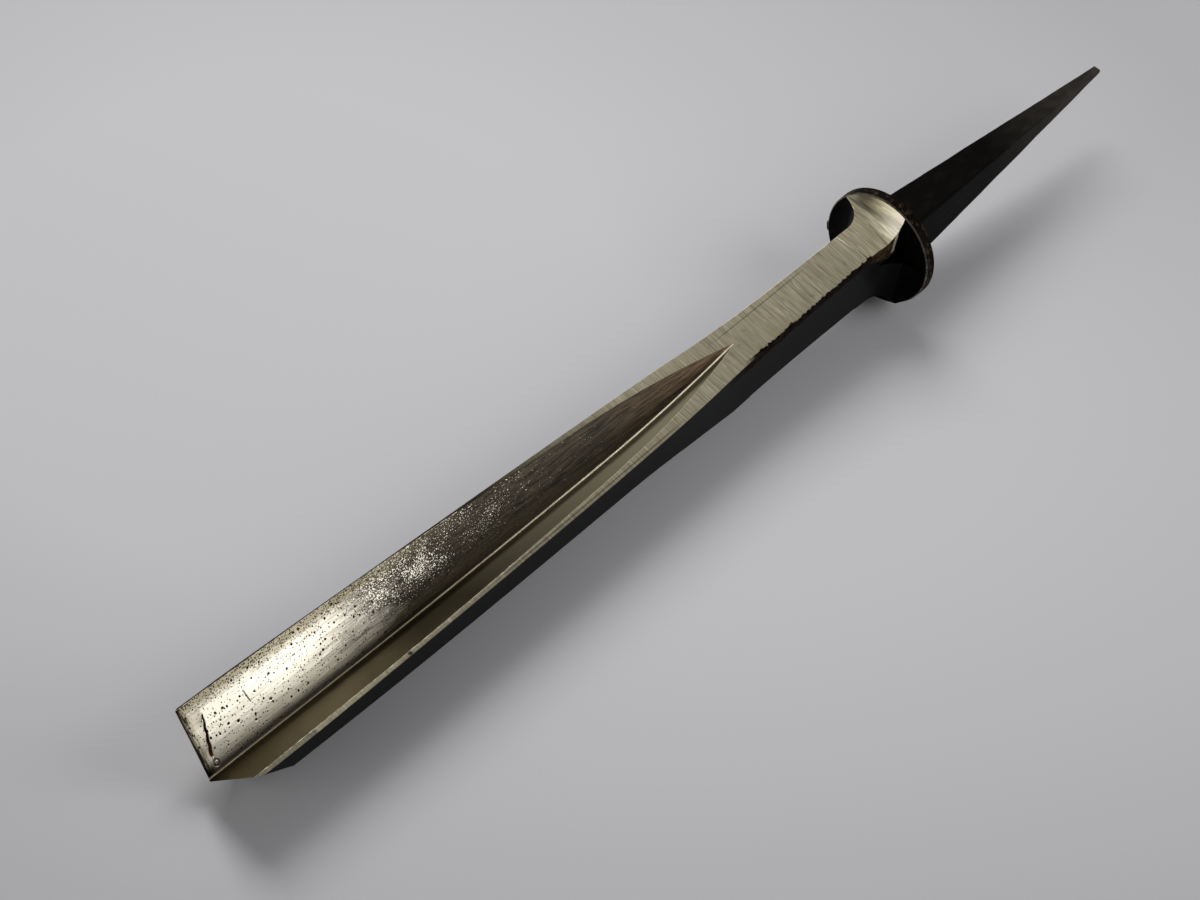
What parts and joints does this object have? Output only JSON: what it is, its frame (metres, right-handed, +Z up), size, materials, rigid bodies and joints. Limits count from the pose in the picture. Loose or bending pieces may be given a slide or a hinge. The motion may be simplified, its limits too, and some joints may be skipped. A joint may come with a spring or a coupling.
{
  "type": "carving chisel",
  "caption": "V-parting carving chisel without its handle: open V blade, rectangular shank, round bolster and tapered tang.",
  "frame": {"origin": "centre of the bolster's rear face, which the handle seats on", "axes": "+X along the tool towards the cutting edge, +Z up out of the open V"},
  "size_m": [0.161, 0.0142, 0.0142],
  "materials": {
    "ground_steel": "ground bright inside and on top, dark forge scale outside",
    "forge_scale": "black oxide scale left by forging"
  },
  "bodies": {
    "root": {"blade": "ground_steel", "shank": "ground_steel", "bolster": "forge_scale", "tang": "forge_scale"}
  },
  "joints": []
}
